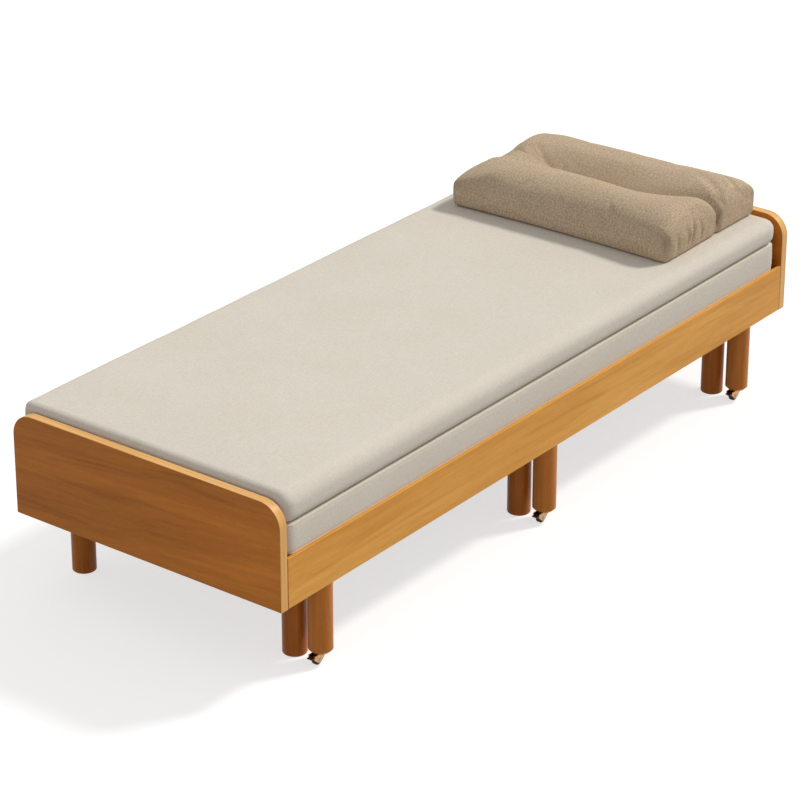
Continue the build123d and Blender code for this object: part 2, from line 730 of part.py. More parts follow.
def padded_slab(bottom, thickness, crown, inset):
    # A flat-bottomed pad with rounded corners and edges, bowed sides and a crowned top
    left = mattress_left + inset
    right = mattress_right - inset
    middle = (left + right) / 2
    plan_radius = mattress_corner_radius - inset
    edge_radius = mattress_edge_radius - inset
    end_steps = [plan_radius * share for share in corner_shares] + [crown_run / 2, crown_run]
    stations = [(left + step, step) for step in end_steps]
    stations += [(middle, middle - left)]
    stations += [(right - step, step) for step in reversed(end_steps)]
    with BuildPart() as slab:
        for x, distance in stations:
            half = mattress_half_depth - inset - corner_inset(distance, plan_radius)
            rounding = corner_inset(distance, edge_radius)
            low = bottom + inset + rounding
            high = bottom + thickness - inset - rounding
            rise = crown * (1 - (1 - min(distance / crown_run, 1)) ** 2)
            radius = min(edge_radius, (high - low) / 3)
            near = radius * (1 - math.sqrt(0.5))
            flat = half - radius
            centre_z = (low + high) / 2
            with BuildSketch(Plane.YZ.offset(x)):
                with BuildLine():
                    Line((-flat, low), (flat, low))
                    for side in (1, -1):
                        face = side * half
                        edge = side * (half - near)
                        bulge = side * (half + mattress_side_bulge)
                        ThreePointArc((side * flat, low), (edge, low + near), (face, low + radius))
                        ThreePointArc((face, low + radius), (bulge, centre_z), (face, high - radius))
                        ThreePointArc((face, high - radius), (edge, high - near), (side * flat, high))
                    if rise > 0:
                        ThreePointArc((flat, high), (0, high + rise), (-flat, high))
                    else:
                        Line((flat, high), (-flat, high))
                make_face()
        loft(ruled=True)
    return slab.part


mattresses = {
    "lower_mattress": (lower_bottom, lower_thickness, 0),
    "upper_mattress": (upper_bottom, upper_thickness, upper_crown),
}
for name, (bottom, thickness, crown) in mattresses.items():
    with BuildPart() as mattress_cover:
        add(padded_slab(bottom, thickness, crown, 0))
        add(padded_slab(bottom, thickness, crown, cover_thickness), mode=Mode.SUBTRACT)
    mattress_cover.part.label = f"{name}_cover"
    export_step(mattress_cover.part, f"parts/{name}_cover.step")

    with BuildPart() as mattress_core:
        add(padded_slab(bottom, thickness, crown, core_inset))
    mattress_core.part.label = f"{name}_core"
    export_step(mattress_core.part, f"parts/{name}_core.step")

# Back cushion: sections of two lobes and the sewn channel, lofted from its front end to its back end
cushion_x = inside_half - cushion_panel_gap - cushion_width / 2
cushion_bottom = upper_top + upper_crown + mattress_gap
cushion_front = -cushion_length / 2 - cushion_front_shift
cushion_back = cushion_length / 2 - cushion_front_shift


def lobed_pad(inset):
    # Each section has a flat foot, bulging sides, two crowns and the channel between them
    front = cushion_front + inset
    back = cushion_back - inset
    ends = [(cushion_end_run * share, full) for share, full in zip(cushion_end_shares, cushion_end_fullness)]
    stations = [(front + step, full, channel_front_height) for step, full in ends]
    stations += [((front + back) / 2, 1, channel_middle_height)]
    stations += [(back - step, full, channel_back_height) for step, full in reversed(ends)]
    with BuildPart() as pad:
        for y, full, channel in stations:
            width = cushion_width * (cushion_end_width + (1 - cushion_end_width) * full)
            half = width / 2 - inset
            seam = cushion_seam_height
            low = seam * (1 - full) * cushion_end_lift + inset
            crest = seam + (cushion_height - seam) * full - inset
            end_valley = seam * channel_end_height
            valley = end_valley + (min(channel, crest + inset) - end_valley) * full - inset
            foot = half - cushion_foot_inset * full
            lobe = half / 2
            section = Plane(origin=(cushion_x, y, cushion_bottom), x_dir=(1, 0, 0), z_dir=(0, -1, 0))
            with BuildSketch(section):
                with BuildLine():
                    Line((-foot, low), (foot, low))
                    for side in (1, -1):
                        ThreePointArc(
                            (side * foot, low),
                            (
                                side * (half - (half - foot) * lower_bulge_in),
                                low + (seam - low) * lower_bulge_up,
                            ),
                            (side * half, seam),
                        )
                        ThreePointArc(
                            (side * half, seam),
                            (side * lobe * (1 + lobe_bulge), seam + (crest - seam) * lobe_bulge),
                            (side * lobe, crest),
                        )
                        ThreePointArc(
                            (side * lobe, crest),
                            (side * lobe * channel_bulge, crest - (crest - valley) * channel_bulge_drop),
                            (0, valley),
                        )
                make_face()
        loft(ruled=True)
    return pad.part


with BuildPart() as cushion_cover:
    add(lobed_pad(0))
    add(lobed_pad(cover_thickness), mode=Mode.SUBTRACT)
cushion_cover.part.label = "cushion_cover"
export_step(cushion_cover.part, "parts/cushion_cover.step")

with BuildPart() as cushion_filling:
    add(lobed_pad(core_inset))
cushion_filling.part.label = "cushion_filling"
export_step(cushion_filling.part, "parts/cushion_filling.step")
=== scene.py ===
import math

import bpy
import numpy as np
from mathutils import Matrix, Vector


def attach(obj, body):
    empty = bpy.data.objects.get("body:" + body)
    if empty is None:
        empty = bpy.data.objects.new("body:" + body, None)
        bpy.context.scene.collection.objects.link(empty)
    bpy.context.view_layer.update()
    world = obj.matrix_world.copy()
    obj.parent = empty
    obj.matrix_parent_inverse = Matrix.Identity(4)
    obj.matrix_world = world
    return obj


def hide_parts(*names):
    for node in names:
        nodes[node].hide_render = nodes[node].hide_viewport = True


# Pull-out sofa bed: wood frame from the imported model, with its mattresses and cushion made here. Metres.
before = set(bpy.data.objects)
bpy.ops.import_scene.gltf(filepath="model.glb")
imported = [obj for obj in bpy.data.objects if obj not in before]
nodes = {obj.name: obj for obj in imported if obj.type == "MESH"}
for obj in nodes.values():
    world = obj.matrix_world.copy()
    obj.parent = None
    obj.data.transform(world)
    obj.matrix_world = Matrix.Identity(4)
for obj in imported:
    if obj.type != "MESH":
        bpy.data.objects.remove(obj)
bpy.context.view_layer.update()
ends = ("left", "middle", "right")
print("frame loaded")


# Camera, lamps and floor

photoCamera = {
    "place": (-5.78988, -4.37901, 3.69181),
    "azimuth": -52.438,  # 0 looks along +Y
    "down": 25.638,
    "lens": 152.5,  # millimetres on a 36 mm sensor
    "sensor": 36,
}

light = {
    "skyColour": (0.98, 0.99, 1.0, 1),
    "skyStrength": 0.5,
    "sunColour": (1.0, 0.955, 0.89),
    "sunStrength": 2.2,
    "sunSoftness": 9,  # degrees across
    "sunAzimuth": 62,  # degrees from the front (-Y) towards +X
    "sunHeight": 46,
    "floorColour": (0.46, 0.452, 0.444, 1),
    "floorLift": 0.66,  # what the camera sees the floor brighter by, so that only its shadows stay
    "floorSize": 60,
}


def aim(azimuth, height):
    # The direction towards a point of the sky: azimuth from -Y towards +X, both in degrees
    turn, rise = math.radians(azimuth), math.radians(height)
    return Vector((math.sin(turn) * math.cos(rise), -math.cos(turn) * math.cos(rise), math.sin(rise)))


def makeCamera(c):
    data = bpy.data.cameras.new("photoCamera")
    data.lens = c["lens"]
    data.sensor_width = c["sensor"]
    data.sensor_fit = "HORIZONTAL"
    data.clip_start, data.clip_end = 0.05, 200
    camera = bpy.data.objects.new("photoCamera", data)
    bpy.context.collection.objects.link(camera)
    camera.location = c["place"]
    camera.rotation_mode = "QUATERNION"
    camera.rotation_quaternion = (-aim(c["azimuth"], c["down"])).to_track_quat("-Z", "Y")
    bpy.context.scene.camera = camera


def makeLight(c):
    data = bpy.data.lights.new("keySun", "SUN")
    data.energy = c["sunStrength"]
    data.color = c["sunColour"]
    data.angle = math.radians(c["sunSoftness"])
    sun = bpy.data.objects.new("keySun", data)
    bpy.context.collection.objects.link(sun)
    sun.rotation_mode = "QUATERNION"
    sun.rotation_quaternion = aim(c["sunAzimuth"], c["sunHeight"]).to_track_quat("Z", "Y")
    world = bpy.data.worlds.new("paleRoom")
    bpy.context.scene.world = world
    world.use_nodes = True
    tree = world.node_tree
    sky = tree.nodes["Background"]
    sky.inputs["Color"].default_value = c["skyColour"]
    sky.inputs["Strength"].default_value = c["skyStrength"]
    plain = put(tree, "ShaderNodeBackground", {"Color": (1, 1, 1, 1), "Strength": 1})
    mix = put(tree, "ShaderNodeMixShader", {0: seenPlain(tree), 1: sky.outputs[0], 2: plain.outputs[0]})
    tree.links.new(mix.outputs[0], tree.nodes["World Output"].inputs["Surface"])


def makeFloor(c):
    half = c["floorSize"] / 2
    corners = [(-half, -half, 0), (half, -half, 0), (half, half, 0), (-half, half, 0)]
    mesh = bpy.data.meshes.new("floor")
    mesh.from_pydata(corners, [], [(0, 1, 2, 3)])
    floor = bpy.data.objects.new("floor", mesh)
    bpy.context.collection.objects.link(floor)
    material, tree, shader = startMaterial("paleFloor")
    shader.inputs["Base Color"].default_value = c["floorColour"]
    shader.inputs["Roughness"].default_value = 0.9
    shader.inputs["Specular IOR Level"].default_value = 0
    glow = put(tree, "ShaderNodeEmission", {"Color": (1, 1, 1, 1), "Strength": c["floorLift"]})
    black = put(tree, "ShaderNodeEmission", {"Strength": 0})
    lift = put(tree, "ShaderNodeMixShader", {0: seenPlain(tree), 1: black.outputs[0], 2: glow.outputs[0]})
    both = put(tree, "ShaderNodeAddShader", {0: shader.outputs[0], 1: lift.outputs[0]})
    tree.links.new(both.outputs[0], tree.nodes["Material Output"].inputs["Surface"])
    mesh.materials.append(material)


# Node helpers

def tint(code):
    # The linear colour of an sRGB hex code
    parts = [int(code[i : i + 2], 16) / 255 for i in (0, 2, 4)]
    return [p / 12.92 if p <= 0.04045 else ((p + 0.055) / 1.055) ** 2.4 for p in parts] + [1.0]


def put(tree, kind, values=None, **settings):
    # A new node with its settings, its plain values and its links from other sockets
    node = tree.nodes.new(kind)
    for name, value in settings.items():
        setattr(node, name, value)
    for key, value in (values or {}).items():
        if isinstance(value, bpy.types.NodeSocket):
            tree.links.new(value, node.inputs[key])
        else:
            node.inputs[key].default_value = value
    return node


def calc(tree, operation, *values):
    return put(tree, "ShaderNodeMath", dict(enumerate(values)), operation=operation).outputs[0]


def stretch(tree, vector, scale):
    return put(tree, "ShaderNodeVectorMath", {0: vector, 1: scale}, operation="MULTIPLY").outputs[0]


def noise(tree, vector, scale, detail=2.0, roughness=0.5, distortion=0.0):
    values = {"Vector": stretch(tree, vector, scale), "Scale": 1.0, "Detail": detail}
    values |= {"Roughness": roughness, "Distortion": distortion}
    return put(tree, "ShaderNodeTexNoise", values).outputs["Fac"]


def spread(tree, value, low, high, toLow=0.0, toHigh=1.0):
    # A value between low and high brought to toLow ... toHigh, smoothly and clamped
    values = {"Value": value, "From Min": low, "From Max": high, "To Min": toLow, "To Max": toHigh}
    return put(tree, "ShaderNodeMapRange", values, interpolation_type="SMOOTHSTEP").outputs["Result"]


def blendColour(tree, share, first, second, kind="MIX"):
    node = put(tree, "ShaderNodeMix", {0: share, 6: first, 7: second}, data_type="RGBA", blend_type=kind)
    return node.outputs[2]


def seenPlain(tree):
    # 1 where the camera, a gloss or a clear piece looks, 0 for the light that falls on things
    path = put(tree, "ShaderNodeLightPath")
    straight = calc(tree, "MAXIMUM", path.outputs["Is Camera Ray"], path.outputs["Is Glossy Ray"])
    return calc(tree, "MAXIMUM", straight, path.outputs["Is Transmission Ray"])


def newGroup(name, inputs, outputs):
    tree = bpy.data.node_groups.new(name, "ShaderNodeTree")
    for label, kind in inputs:
        tree.interface.new_socket(label, in_out="INPUT", socket_type="NodeSocket" + kind)
    for label, kind in outputs:
        tree.interface.new_socket(label, in_out="OUTPUT", socket_type="NodeSocket" + kind)
    return tree, tree.nodes.new("NodeGroupInput").outputs, tree.nodes.new("NodeGroupOutput").inputs


def useGroup(tree, group, values):
    node = tree.nodes.new("ShaderNodeGroup")
    node.node_tree = group
    for key, value in values.items():
        if isinstance(value, bpy.types.NodeSocket):
            tree.links.new(value, node.inputs[key])
        else:
            node.inputs[key].default_value = value
    return node.outputs


def startMaterial(name):
    material = bpy.data.materials.new(name)
    material.use_nodes = True
    tree = material.node_tree
    return material, tree, tree.nodes["Principled BSDF"]


def bump(tree, shader, height, strength, distance):
    values = {"Height": height, "Strength": strength, "Distance": distance}
    node = put(tree, "ShaderNodeBump", values)
    tree.links.new(node.outputs[0], shader.inputs["Normal"])


# Wood

grain = {  # cells of each layer per metre along and across the grain, and its share in the colour
    "broad": (0.9, 7.5, 7.5), "streaks": (4.5, 75, 75), "fibres": (28, 620, 620), "pores": (55, 900, 900),
    "flames": (2.2, 34, 34), "poreFrom": 0.64, "poreTo": 0.74, "flameFrom": 0.54, "flameTo": 0.72,
    "base": 0.2, "streakShare": 0.55, "fibreShare": 0.4, "flameShare": 0.2, "poreShare": 0.35,
    "rough": 0.3, "roughGain": 0.16, "fibreRelief": 0.5,
}
lacquer = {
    "specular": 0.16, "coatRough": 0.28, "reliefDepth": 0.0004, "cutFrom": 0.85, "cutTo": 0.3,
    "layerFrom": 0.35, "layerTo": 0.62, "cutFibres": 0.25, "shadeLow": 0.84, "shadeHigh": 1.06,
}


def makeGrainGroup(g):
    # Grain along the vector's X: broad figure, streaks, fibres and short dark pores
    inputs = [("Along", "Vector"), ("Pale", "Color"), ("Dark", "Color"), ("Figure", "Float")]
    outputs = [("Colour", "Color"), ("Roughness", "Float"), ("Height", "Float")]
    tree, given, result = newGroup("woodGrain", inputs, outputs)
    along = given["Along"]
    broad = noise(tree, along, g["broad"], 3, 0.5, 0.8)
    streaks = noise(tree, along, g["streaks"], 3, 0.6, 0.5)
    fibres = noise(tree, along, g["fibres"], 2, 0.6)
    pores = spread(tree, noise(tree, along, g["pores"], 1, 0.5), g["poreFrom"], g["poreTo"])
    flames = spread(tree, noise(tree, along, g["flames"], 2, 0.4, 1.4), g["flameFrom"], g["flameTo"])
    swing = calc(tree, "MULTIPLY", calc(tree, "SUBTRACT", broad, 0.5), given["Figure"])
    share = calc(tree, "ADD", swing, calc(tree, "MULTIPLY_ADD", streaks, g["streakShare"], g["base"]))
    share = calc(tree, "MULTIPLY_ADD", calc(tree, "SUBTRACT", fibres, 0.5), g["fibreShare"], share)
    share = calc(tree, "SUBTRACT", share, calc(tree, "MULTIPLY", flames, g["flameShare"]))
    share = calc(tree, "SUBTRACT", share, calc(tree, "MULTIPLY", pores, g["poreShare"]))
    clamped = spread(tree, share, 0.0, 1.0)
    tree.links.new(blendColour(tree, clamped, given["Dark"], given["Pale"]), result["Colour"])
    tree.links.new(calc(tree, "MULTIPLY_ADD", fibres, g["roughGain"], g["rough"]), result["Roughness"])
    relief = calc(tree, "SUBTRACT", calc(tree, "MULTIPLY", fibres, g["fibreRelief"]), pores)
    tree.links.new(relief, result["Height"])
    return tree


def makeWood(name, finish):
    # Lacquered wood with its grain turned to the piece's length, and paler where the board is cut
    material, tree, shader = startMaterial(name)
    place = put(tree, "ShaderNodeTexCoord")
    turn = [math.radians(angle) for angle in finish["turn"]]
    turned = put(tree, "ShaderNodeMapping", {"Vector": place.outputs["Object"], "Rotation": turn})
    values = {"Along": turned.outputs[0], "Pale": tint(finish["pale"]), "Dark": tint(finish["dark"])}
    figured = useGroup(tree, woodGrain, values | {"Figure": finish["figure"]})
    colour = figured["Colour"]
    if "edge" in finish:
        facing = put(tree, "ShaderNodeSeparateXYZ", {0: place.outputs["Normal"]}).outputs["X"]
        cut = spread(tree, calc(tree, "ABSOLUTE", facing), lacquer["cutFrom"], lacquer["cutTo"])
        layers = noise(tree, place.outputs["Object"], finish["layers"], 2, 0.7)
        share = spread(tree, layers, lacquer["layerFrom"], lacquer["layerTo"])
        edge = blendColour(tree, share, tint(finish["edgeDark"]), tint(finish["edge"]))
        fibres = blendColour(tree, lacquer["cutFibres"], edge, colour)
        colour = blendColour(tree, cut, colour, fibres)
    if "pieceStep" in finish:
        along = put(tree, "ShaderNodeSeparateXYZ", {0: place.outputs["Object"]}).outputs["X"]
        number = calc(tree, "ROUND", calc(tree, "DIVIDE", along, finish["pieceStep"]))
        chance = put(tree, "ShaderNodeTexWhiteNoise", {"W": number}, noise_dimensions="1D").outputs["Value"]
        shade = spread(tree, chance, 0, 1, lacquer["shadeLow"], lacquer["shadeHigh"])
        colour = put(tree, "ShaderNodeVectorMath", {0: colour, 3: shade}, operation="SCALE").outputs[0]
    tree.links.new(colour, shader.inputs["Base Color"])
    tree.links.new(figured["Roughness"], shader.inputs["Roughness"])
    shader.inputs["Specular IOR Level"].default_value = lacquer["specular"]
    shader.inputs["Coat Weight"].default_value = finish["coat"]
    shader.inputs["Coat Roughness"].default_value = lacquer["coatRough"]
    bump(tree, shader, figured["Height"], finish["relief"], lacquer["reliefDepth"])
    return material


# The turns, in degrees, that bring the grain along each axis. The panels' figure also leans a little.
alongX, alongY, alongZ = (0, 0, 0), (0, 0, -90), (0, 90, 0)
smooth = {"coat": 0.03, "relief": 0.25}
raw = {"coat": 0.0, "relief": 0.6}
# The end panels' wood is a darker, redder copy of the rails' wood. This is painted shade: their outer faces
# turn away from the light, and the real panels and rails are one wood.
shadedPanelFinish = smooth | {
    "turn": (4, 0, -90), "pale": "e28a34", "dark": "a45f18", "figure": 0.75,
    "edge": "fccf8a", "edgeDark": "e4ab5e", "layers": (330, 2.5, 2.5),
}
railFinish = smooth | {"turn": alongX, "pale": "f7b95c", "dark": "d18d2f", "figure": 1.1}
# The legs are all one wood. The caster legs get a paler copy as painted light, and the fixed legs beside them
# a darker one as painted shade.
legFinish = smooth | {"turn": alongZ, "pale": "d2802f", "dark": "a0561a", "figure": 1.0, "coat": 0.04}
litCasterLegFinish = legFinish | {"pale": "dc8a38", "dark": "ab6423"}
bearerFinish = raw | {"turn": alongY, "pale": "d6994f", "dark": "ad6c2e", "figure": 1.6}
battenFinish = bearerFinish | {"turn": alongX}
slatFinish = raw | {"turn": alongY, "pale": "ebca94", "dark": "c9995c", "figure": 1.5, "pieceStep": 0.078}


# Fabric

def makeWeaveGroup():
    # Plain weave on a flat layout in metres: threads cross over and under at the pitch, thick and thin
    inputs = [("Layout", "Vector"), ("Pitch", "Float"), ("Wobble", "Float")]
    outputs = [("Tone", "Float"), ("Height", "Float")]
    tree, given, result = newGroup("plainWeave", inputs, outputs)
    counted = put(tree, "ShaderNodeVectorMath", {0: given["Layout"], 1: given["Pitch"]}, operation="DIVIDE")
    counted = counted.outputs[0]
    values = {"Vector": counted, "Scale": 0.35, "Detail": 1.0}
    sway = put(tree, "ShaderNodeTexNoise", values).outputs["Color"]
    sway = put(tree, "ShaderNodeVectorMath", {0: sway, 1: (0.5, 0.5, 0.5)}, operation="SUBTRACT").outputs[0]
    sway = put(tree, "ShaderNodeVectorMath", {0: sway, 3: given["Wobble"]}, operation="SCALE").outputs[0]
    moved = put(tree, "ShaderNodeVectorMath", {0: counted, 1: sway}, operation="ADD").outputs[0]
    apart = put(tree, "ShaderNodeSeparateXYZ", {0: moved}).outputs
    across = calc(tree, "SINE", calc(tree, "MULTIPLY", apart["X"], math.pi))
    down = calc(tree, "SINE", calc(tree, "MULTIPLY", apart["Y"], math.pi))
    over = calc(tree, "GREATER_THAN", calc(tree, "MULTIPLY", across, down), 0.0)
    warp = calc(tree, "ABSOLUTE", across)
    weft = calc(tree, "ABSOLUTE", down)
    warpTop = calc(tree, "MULTIPLY", warp, calc(tree, "MULTIPLY_ADD", weft, 0.5, 0.5))
    weftTop = calc(tree, "MULTIPLY", weft, calc(tree, "MULTIPLY_ADD", warp, 0.5, 0.5))
    height = put(tree, "ShaderNodeMix", {0: over, 2: weftTop, 3: warpTop}).outputs[0]
    warpSlubs = noise(tree, moved, (0.9, 0.045, 1), 3, 0.7)
    weftSlubs = noise(tree, moved, (0.05, 0.8, 1), 3, 0.7)
    tone = put(tree, "ShaderNodeMix", {0: over, 2: weftSlubs, 3: warpSlubs}).outputs[0]
    both = calc(tree, "MULTIPLY_ADD", calc(tree, "ADD", warpSlubs, weftSlubs), 0.5, tone)
    tree.links.new(calc(tree, "MULTIPLY", both, 0.5), result["Tone"])
    thick = calc(tree, "MULTIPLY", height, calc(tree, "MULTIPLY_ADD", tone, 0.8, 0.6))
    tree.links.new(thick, result["Height"])
    return tree


def makeCloth(name, finish):
    material, tree, shader = startMaterial(name)
    layout = put(tree, "ShaderNodeUVMap", uv_map="cloth").outputs[0]
    values = {"Layout": layout, "Pitch": finish["pitch"], "Wobble": finish["wobble"]}
    weave = useGroup(tree, plainWeave, values)
    nubs = noise(tree, layout, (finish["nubs"],) * 3, 2, 0.7)
    cloud = noise(tree, layout, (finish["clouds"],) * 3, 3, 0.6)
    share = calc(tree, "MULTIPLY", nubs, finish["nubShare"])
    share = calc(tree, "MULTIPLY_ADD", weave["Tone"], finish["slubShare"], share)
    share = calc(tree, "MULTIPLY_ADD", weave["Height"], finish["gapShare"], share)
    share = calc(tree, "MULTIPLY_ADD", cloud, finish["cloudShare"], share)
    middle = (finish["slubShare"] + finish["nubShare"] + finish["cloudShare"]) / 2
    middle += finish["gapShare"] * finish["meanHeight"]
    share = spread(tree, share, middle - finish["toneReach"], middle + finish["toneReach"])
    colour = blendColour(tree, share, tint(finish["dark"]), tint(finish["pale"]))
    tree.links.new(colour, shader.inputs["Base Color"])
    rough = calc(tree, "MULTIPLY_ADD", nubs, finish["roughGain"], finish["rough"])
    tree.links.new(rough, shader.inputs["Roughness"])
    shader.inputs["Specular IOR Level"].default_value = finish["specular"]
    shader.inputs["Sheen Weight"].default_value = finish["sheen"]
    shader.inputs["Sheen Roughness"].default_value = finish["sheenRough"]
    relief = calc(tree, "MULTIPLY_ADD", nubs, finish["nubRelief"], weave["Height"])
    bump(tree, shader, relief, finish["relief"], finish["pitch"] * finish["threadDepth"])
    return material


cloth = {
    "clouds": 5, "cloudShare": 0.12, "meanHeight": 0.55, "toneReach": 0.3, "rough": 0.82, "roughGain": 0.12,
    "specular": 0.2, "sheen": 0.05, "sheenRough": 0.5, "threadDepth": 0.35,
}
mattressCloth = cloth | {
    "pitch": 0.0016, "wobble": 0.7, "nubs": 190, "pale": "ebe6dd", "dark": "cec4b4",
    "slubShare": 0.55, "nubShare": 0.35, "gapShare": 0.2, "nubRelief": 0.5, "relief": 0.45,
}
cushionCloth = cloth | {
    "pitch": 0.0028, "wobble": 1.3, "nubs": 210, "pale": "e8d4b8", "dark": "ac9070",
    "slubShare": 0.4, "nubShare": 0.85, "gapShare": 0.35, "nubRelief": 1.4, "relief": 0.9,
}
seamCloth = mattressCloth | {"pale": "e8e0d2", "dark": "cdc1ac"}


# Metal, rubber and plastic

def makeScuffGroup():
    # Fine scratches and dull patches: what roughness gains, and the relief of both
    outputs = [("Dull", "Float"), ("Height", "Float")]
    tree, given, result = newGroup("fineScuffs", [("Place", "Vector")], outputs)
    patches = noise(tree, given["Place"], (90, 90, 90), 3, 0.6)
    lines = noise(tree, given["Place"], (1500, 1500, 60), 2, 0.6, 0.3)
    grains = noise(tree, given["Place"], (2600, 2600, 2600), 1)
    dull = calc(tree, "MULTIPLY_ADD", lines, 0.4, calc(tree, "MULTIPLY", patches, 0.6))
    tree.links.new(dull, result["Dull"])
    relief = calc(tree, "MULTIPLY_ADD", lines, 0.5, calc(tree, "MULTIPLY", grains, 0.5))
    tree.links.new(relief, result["Height"])
    return tree


def makeHard(name, finish):
    material, tree, shader = startMaterial(name)
    place = put(tree, "ShaderNodeTexCoord").outputs["Object"]
    scuffs = useGroup(tree, fineScuffs, {"Place": place})
    share = spread(tree, scuffs["Dull"], finish["dullFrom"], finish["dullTo"])
    colour = blendColour(tree, share, tint(finish["dark"]), tint(finish["pale"]))
    tree.links.new(colour, shader.inputs["Base Color"])
    rough = calc(tree, "MULTIPLY_ADD", scuffs["Dull"], finish["dullGain"], finish["rough"])
    tree.links.new(rough, shader.inputs["Roughness"])
    shader.inputs["Metallic"].default_value = finish["metal"]
    bump(tree, shader, scuffs["Height"], finish["relief"], finish["reliefDepth"])
    return material


plain = {"metal": 0.0, "dullGain": 0.25, "dullFrom": 0.3, "dullTo": 0.7, "reliefDepth": 0.0002}
zincFinish = plain | {"pale": "b9bcc0", "dark": "8e9196", "metal": 1.0, "rough": 0.24, "relief": 0.2}
brassFinish = zincFinish | {"pale": "d9ae7c", "dark": "a87a4c", "rough": 0.2}
rubberFinish = plain | {"pale": "1d1c1b", "dark": "0d0c0c", "rough": 0.55, "dullGain": 0.3, "relief": 0.5}
pedalFinish = plain | {"pale": "6a2a1c", "dark": "3a1510", "rough": 0.35, "relief": 0.4}
nylonFinish = plain | {"pale": "eeebe2", "dark": "dedacd", "rough": 0.38, "dullGain": 0.2, "relief": 0.3}


# Surfaces

def gridFaces(rows, columns, first):
    index = np.arange(rows * columns).reshape(rows, columns) + first
    corners = [index[:-1, :-1], index[1:, :-1], index[1:, 1:], index[:-1, 1:]]
    return np.stack(corners, axis=-1).reshape(-1, 4)


def sewSheets(name, sheets, layouts):
    # One closed mesh from grids of points that meet at their rims. Each grid keeps its own flat layout.
    faces, first = [], 0
    for sheet in sheets:
        faces.append(gridFaces(*sheet.shape[:2], first))
        first += sheet.shape[0] * sheet.shape[1]
    faces = np.concatenate(faces)
    points = np.concatenate([sheet.reshape(-1, 3) for sheet in sheets])
    layout = np.concatenate([flat.reshape(-1, 2) for flat in layouts])
    single, index = np.unique(np.round(points, 6), axis=0, return_inverse=True)
    index = index.reshape(-1)
    mesh = bpy.data.meshes.new(name)
    mesh.from_pydata(single, [], index[faces])
    mesh.uv_layers.new(name="cloth").data.foreach_set("uv", layout[faces].reshape(-1))
    mesh.polygons.foreach_set("use_smooth", np.ones(len(faces), dtype=bool))
    mesh.update()
    piece = bpy.data.objects.new(name, mesh)
    bpy.context.collection.objects.link(piece)
    return piece, index


def readPoints(mesh, field="co"):
    values = np.empty(len(mesh.vertices) * 3)
    mesh.vertices.foreach_get(field, values)
    return values.reshape(-1, 3)


def writePoints(mesh, points):
    mesh.vertices.foreach_set("co", points.reshape(-1))
    mesh.update()


def boxSheets(size, step):
    # The six faces of a box from (0, 0, 0) to size as grids that face outwards
    sheets = []
    for flat in range(3):
        first, second = (flat + 1) % 3, (flat + 2) % 3
        a = np.linspace(0, size[first], max(2, round(size[first] / step[first])) + 1)
        b = np.linspace(0, size[second], max(2, round(size[second] / step[second])) + 1)
        for level in (0, size[flat]):
            grid = np.empty((len(a), len(b), 3))
            grid[..., first] = a[:, None]
            grid[..., second] = b[None, :]
            grid[..., flat] = level
            sheets.append(grid if level else grid[::-1])
    return sheets


def ripple(x, y, waves, seed):
    # A sum of plane waves with seeded directions and phases, about -1 to 1
    rng = np.random.default_rng(seed)
    total = np.zeros_like(x)
    for length in waves:
        turn, phase = rng.uniform(0, 2 * math.pi, 2)
        total += np.sin((x * math.cos(turn) + y * math.sin(turn)) * 2 * math.pi / length + phase)
    return total / len(waves)


def ring(name, path, radius, sides):
    # A round section carried round a closed path: section i is at point i, its side j at angle 2 pi j / sides
    ahead = np.roll(path, -1, 0) - np.roll(path, 1, 0)
    ahead /= np.linalg.norm(ahead, axis=1, keepdims=True)
    outward = np.cross(ahead, (0.0, 0.0, 1.0))
    outward /= np.linalg.norm(outward, axis=1, keepdims=True)
    upward = np.cross(outward, ahead)
    angle = np.linspace(0, 2 * math.pi, sides + 1)
    section = outward[:, None] * np.cos(angle)[:, None] + upward[:, None] * np.sin(angle)[:, None]
    grid = path[:, None] + radius * section
    grid = np.concatenate([grid, grid[:1]])
    length = np.concatenate([[0], np.cumsum(np.linalg.norm(np.diff(grid[:, 0], axis=0), axis=1))])
    layout = np.stack(np.broadcast_arrays(length[:, None], angle * radius), axis=-1)
    return sewSheets(name, [grid[:, ::-1]], [layout[:, ::-1]])[0]


def dress(piece, material, body):
    piece.data.materials.clear()
    piece.data.materials.append(material)
    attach(piece, body)


# Mattresses

mattress = {
    "left": -0.97, "right": 0.962, "halfDepth": 0.372, "step": (0.0095, 0.0095, 0.0062),
    "cornerRadius": 0.03, "crownRun": 0.24, "bowRun": 0.02, "liftPower": 3,
    "waves": (0.62, 0.47, 0.35, 0.81), "dragWaves": (0.11, 0.16, 0.083), "dragRun": 0.07, "dragStretch": 0.3,
    "seamRadius": 0.0017, "seamSides": 10, "seamInset": 0.0012, "seamStep": 0.012, "seamCornerPoints": 9,
    "topSeamDrop": 0.0045, "bottomSeamRise": 0.006,
    "roundCorner": 2.0, "squareCorner": 6.0,  # powers of the corners' plan, the square one at the left back
}
lowerMattress = {
    "name": "lowerMattress", "bottom": 0.3143, "top": 0.3898, "crown": 0.0, "bulge": 0.0015,
    "topRound": (0.008, 0.007), "sharpRound": (0.008, 0.007), "bottomRound": (0.010, 0.010),
    "leftLift": 0.0, "liftRun": 1.42, "wave": 0.0006, "drag": 0.0003, "seed": 3,
}
upperMattress = {
    "name": "upperMattress", "bottom": 0.3901, "top": 0.4541, "crown": 0.006, "bulge": 0.0022,
    "topRound": (0.029, 0.026), "sharpRound": (0.010, 0.011), "bottomRound": (0.016, 0.019),
    "leftLift": 0.013, "liftRun": 1.42, "wave": 0.0009, "drag": 0.0008, "seed": 8,
}


